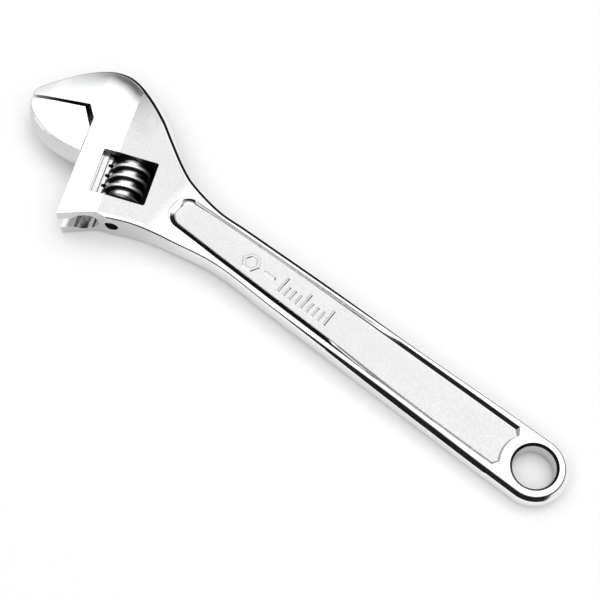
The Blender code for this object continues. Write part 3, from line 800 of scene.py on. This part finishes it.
def build_worm():
    """A core with one thread wound round it, bevelled at its ends and bored for pin and spring."""
    v0, v1 = WORM_V
    sides = 96
    core = along_v(WORM_AXIS_U, ((v0 - 1, WORM_ROOT_RADIUS), (v1 + 1, WORM_ROOT_RADIUS)),
                   sides, WORM_ROOT, "wrench_worm")
    start = round((v0 / LEAD - 0.7) * sides)
    half = 0.5 * THREAD_CREST
    slanted = [(r, half + THREAD_TAPER * (WORM_RADIUS - r))
               for r in (WORM_ROOT_RADIUS - 0.61, WORM_ROOT_RADIUS + 0.35, WORM_RADIUS - 0.45)]
    rings = []
    for k in range(round(((v1 - v0) / LEAD + 1.4) * sides) + 1):
        a = 2 * math.pi * (start + k) / sides
        v = LEAD * a / (2 * math.pi)
        knurl = 0.07 * (k % 2)
        side = slanted + [(WORM_RADIUS - 0.12, half - 0.06), (WORM_RADIUS - knurl, half - 0.3)]
        ring = [(r, -w) for r, w in side] + side[::-1]
        rings.append([HEAD_MATRIX @ Vector((WORM_AXIS_U - r * math.cos(a), v + w, r * math.sin(a)))
                      for r, w in ring])
    combine(core, new_object("thread", tube(rings)), "UNION")
    outer, bevel = WORM_RADIUS + 0.2, 1.4
    keep = along_v(WORM_AXIS_U, ((v0, outer - bevel), (v0 + bevel, outer), (v1 - bevel, outer),
                                 (v1, outer - bevel)), 100, WORM_ROOT)
    combine(core, keep, "INTERSECT")
    bore = PIN_RADIUS + CLEARANCE
    hole = along_v(WORM_AXIS_U, (
        (v0 - 5, COUNTERBORE_RADIUS), (COUNTERBORE_V, COUNTERBORE_RADIUS),
        (COUNTERBORE_V + 0.01, bore), (v1 + 5, bore)), 48, WORM_ROOT)
    combine(core, hole, "DIFFERENCE")
    for face in core.data.polygons:
        face.material_index = worm_slot(face)
    return core


def build_pin():
    """The worm's axle, with a screwdriver slot across its head."""
    end = PIN_HEAD_END_V
    pin = along_v(WORM_AXIS_U, (
        (end, PIN_HEAD_RADIUS - 0.5), (end + 0.15, PIN_HEAD_RADIUS - 0.18),
        (end + 0.5, PIN_HEAD_RADIUS), (PIN_HEAD_TOP_V, PIN_HEAD_RADIUS),
        (PIN_HEAD_TOP_V + 0.01, PIN_RADIUS), (PIN_END_V - 0.6, PIN_RADIUS),
        (PIN_END_V, PIN_RADIUS - 0.6)), 48, slot=0, name="wrench_pin")
    slot = [(WORM_AXIS_U - 5, end - 3), (WORM_AXIS_U + 5, end - 3),
            (WORM_AXIS_U + 5, end + 1.2), (WORM_AXIS_U - 5, end + 1.2)]
    return combine(pin, head_prism(slot, -0.55, 0.55, slot=0), "DIFFERENCE")


def build_spring():
    v0 = WINDOW_V[0] + CLEARANCE + SPRING_WIRE
    v1 = COUNTERBORE_V - CLEARANCE - SPRING_WIRE
    per_coil, sides = 36, 10
    count = round(SPRING_COILS * per_coil)
    rings = []
    for k in range(count + 1):
        a = 2 * math.pi * k / per_coil
        v = v0 + (v1 - v0) * k / count
        ring = []
        for b in (2 * math.pi * j / sides for j in range(sides)):
            r = SPRING_RADIUS + SPRING_WIRE * math.cos(b)
            ring.append(HEAD_MATRIX @ Vector((
                WORM_AXIS_U + r * math.cos(a), v + SPRING_WIRE * math.sin(b), r * math.sin(a))))
        rings.append(ring)
    return new_object("wrench_spring", tube(rings))


def dress(obj, node, body, mats):
    """Cleans a piece, moves it from millimetres into the frame and hangs it on its body."""
    bm = bmesh.new()
    bm.from_mesh(obj.data)
    bmesh.ops.remove_doubles(bm, verts=bm.verts[:], dist=5e-4)
    bmesh.ops.dissolve_degenerate(bm, dist=5e-4, edges=bm.edges[:])
    oriented(bm)
    for face in bm.faces:
        face.smooth = True
    for edge in bm.edges:
        from_ridge = max(abs(in_head(v.co.x, v.co.y)[0] - RIDGE_U) for v in edge.verts)
        on_ridge = node == "body" and from_ridge < 0.01
        if (on_ridge or len(edge.link_faces) != 2
                or edge.calc_face_angle(0) > math.radians(SHARP_ANGLE)):
            edge.smooth = False
    bm.to_mesh(obj.data)
    bm.free()
    slots = [face.material_index for face in obj.data.polygons]
    obj.data.materials.clear()
    for mat in mats:
        obj.data.materials.append(mat)
    obj.data.polygons.foreach_set("material_index", slots)
    obj.data.transform(Matrix.Scale(MM, 4) @ Matrix.Translation(SHIFT))
    weighted = obj.modifiers.new("weighted", "WEIGHTED_NORMAL")
    weighted.keep_sharp = True
    weighted.weight = 50
    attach(obj, body)
    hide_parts(node)
    return obj


dress(build_body(), "body", "body", SLOTS)
dress(build_jaw(), "movable_jaw", "jaw", SLOTS)
dress(build_worm(), "worm", "worm", [worm_steel, painted_shade_steel, worm_crest_painted_highlight])
dress(build_pin(), "worm_pin", "body", [pin_steel])
dress(build_spring(), "worm_spring", "body", [spring_steel])

# ---- floor: the wrench rests on its head and on the ring, so its mid-plane leans a degree ----
FLOOR_HALF, FLOOR_SQUARES, FLOOR_DROP, SHADOW_SHEET_DROP = 6.0, 24, 0.00005, 0.00003  # metres
HEAD_REST = (RIDGE_U, -20.4)  # where the head touches the floor, in head axes
RING_REST_X = 10  # the place whose height counts at the ring, in handle axes
ring_x = CAD_BOX[1].x - 0.002
head_x = SHIFT.x * MM + place(*HEAD_REST)[0] * MM
rest_z = SHIFT.z * MM - handle_half_thickness(RING_REST_X) * MM
lean = math.atan2(rest_z, ring_x - head_x)
STAGE = Matrix.Translation((head_x, 0, 0)) @ Matrix.Rotation(-lean, 4, "Y")


def studio_piece(name, bm, mat, matrix):
    mesh = bpy.data.meshes.new(name)
    bm.to_mesh(mesh)
    bm.free()
    mesh.materials.append(mat)
    obj = bpy.data.objects.new(name, mesh)
    obj.matrix_world = matrix
    bpy.context.scene.collection.objects.link(obj)
    return obj


def floor_paper():
    mat, tree, shader = new_material("floor_paper")
    shader.inputs["Roughness"].default_value = 0.75
    shader.inputs["Specular IOR Level"].default_value = 0.2
    noise = add(tree, "ShaderNodeTexNoise", Scale=400.0, Detail=3.0)
    tint = add(tree, "ShaderNodeMix", data_type="RGBA")
    tint.inputs["A"].default_value = (0.94, 0.94, 0.945, 1)
    tint.inputs["B"].default_value = (0.96, 0.96, 0.96, 1)
    coords = add(tree, "ShaderNodeTexCoord")
    tree.links.new(coords.outputs["Object"], noise.inputs["Vector"])
    tree.links.new(noise.outputs["Fac"], tint.inputs["Factor"])
    tree.links.new(tint.outputs["Result"], shader.inputs["Base Color"])
    return mat


def painted_shadow_black():
    mat, _, shader = new_material("painted_shadow_black")
    shader.inputs["Base Color"].default_value = (0.015, 0.015, 0.016, 1)
    shader.inputs["Roughness"].default_value = 0.9
    return mat


def floor_squares():
    bm = bmesh.new()
    ticks = [FLOOR_HALF * (2 * i / FLOOR_SQUARES - 1) for i in range(FLOOR_SQUARES + 1)]
    grid = [[bm.verts.new((x, y, -FLOOR_DROP)) for x in ticks] for y in ticks]
    for near, far in zip(grid, grid[1:]):
        for i in range(FLOOR_SQUARES):
            bm.faces.new((near[i], near[i + 1], far[i + 1], far[i]))
    return bm


def shadow_sheet_outline():
    bm = bmesh.new()
    corners = [place(u, v) for u, v in ((-8, -16), (28, -16), (28, 14), (20, 24), (-8, 24))]
    bm.faces.new([bm.verts.new(((x + SHIFT.x) * MM, (y + SHIFT.y) * MM, 0)) for x, y in corners])
    return bm


floor = studio_piece("floor", floor_squares(), floor_paper(), STAGE)

# a near-black sheet under the window, a painted shadow: the floor seen through the window turns dark,
# so the screw stands out
shadow_sheet = studio_piece("shadow_sheet", shadow_sheet_outline(), painted_shadow_black(),
                    STAGE @ Matrix.Translation((-head_x, 0, -SHADOW_SHEET_DROP)))

# ---- light: a sky that is bright above and dark below, and a soft key lamp ----
SKY = ((0.0, 0.004), (0.3, 0.015), (0.42, 0.18), (0.55, 0.6), (0.68, 0.93), (0.8, 1.0))
SKY_STRENGTH = 1.43
SKY_BEHIND = (("From Min", 0.5), ("From Max", 0.9), ("To Min", 0.0), ("To Max", 0.22))
scene = bpy.context.scene
scene.view_settings.view_transform = "Standard"


def studio_sky():
    """The sky's grey follows the height, which counts as less behind the wrench."""
    world = bpy.data.worlds.new("studio")
    world.use_nodes = True
    tree = world.node_tree
    back = tree.nodes["Background"]
    coords = add(tree, "ShaderNodeTexCoord")
    split = add(tree, "ShaderNodeSeparateXYZ")
    ramp = add(tree, "ShaderNodeValToRGB")
    behind = add(tree, "ShaderNodeMapRange", interpolation_type="SMOOTHSTEP")
    for key, value in SKY_BEHIND:
        behind.inputs[key].default_value = value
    lower = add(tree, "ShaderNodeMath", operation="SUBTRACT")
    tree.links.new(coords.outputs["Generated"], split.inputs["Vector"])
    tree.links.new(split.outputs["Y"], behind.inputs["Value"])
    tree.links.new(split.outputs["Z"], lower.inputs[0])
    tree.links.new(behind.outputs["Result"], lower.inputs[1])
    tree.links.new(lower.outputs["Value"], ramp.inputs["Fac"])
    tree.links.new(ramp.outputs["Color"], back.inputs["Color"])
    while len(ramp.color_ramp.elements) < len(SKY):
        ramp.color_ramp.elements.new(0.5)
    for element, (at, grey) in zip(ramp.color_ramp.elements, SKY):
        element.position = at
        element.color = (grey, grey, grey, 1)
    back.inputs["Strength"].default_value = SKY_STRENGTH
    return world


def key_lamp():
    light = bpy.data.lights.new("key", "AREA")
    light.shape = "RECTANGLE"
    light.size = light.size_y = 1.0
    light.energy = 6
    lamp = bpy.data.objects.new("key", light)
    lamp.location = (0.1, 1.1, 2.4)
    lamp.rotation_euler = (-lamp.location).to_track_quat("-Z", "Y").to_euler()
    lamp.visible_glossy = False
    scene.collection.objects.link(lamp)


scene.world = studio_sky()
key_lamp()

# ---- camera ----
AIM_X, AIM_Y = -127.87, 3.48  # the point looked at, in handle axes
ELEVATION, AZIMUTH, DISTANCE = math.radians(65.5), math.radians(38.1), 0.631
camera = bpy.data.cameras.new("camera")
camera.lens = 83.9
camera.sensor_width = 36.0
camera.clip_start, camera.clip_end = 0.01, 50
camera_object = bpy.data.objects.new("camera", camera)
scene.collection.objects.link(camera_object)
scene.camera = camera_object
aim = Vector(((AIM_X + SHIFT.x) * MM - head_x, (AIM_Y + SHIFT.y) * MM, 0))
away = Vector((math.sin(AZIMUTH) * math.cos(ELEVATION), -math.cos(AZIMUTH) * math.cos(ELEVATION),
               math.sin(ELEVATION)))
turn = (-away).to_track_quat("-Z", "Y").to_matrix().to_4x4()
camera_object.matrix_world = STAGE @ Matrix.Translation(aim + away * DISTANCE) @ turn
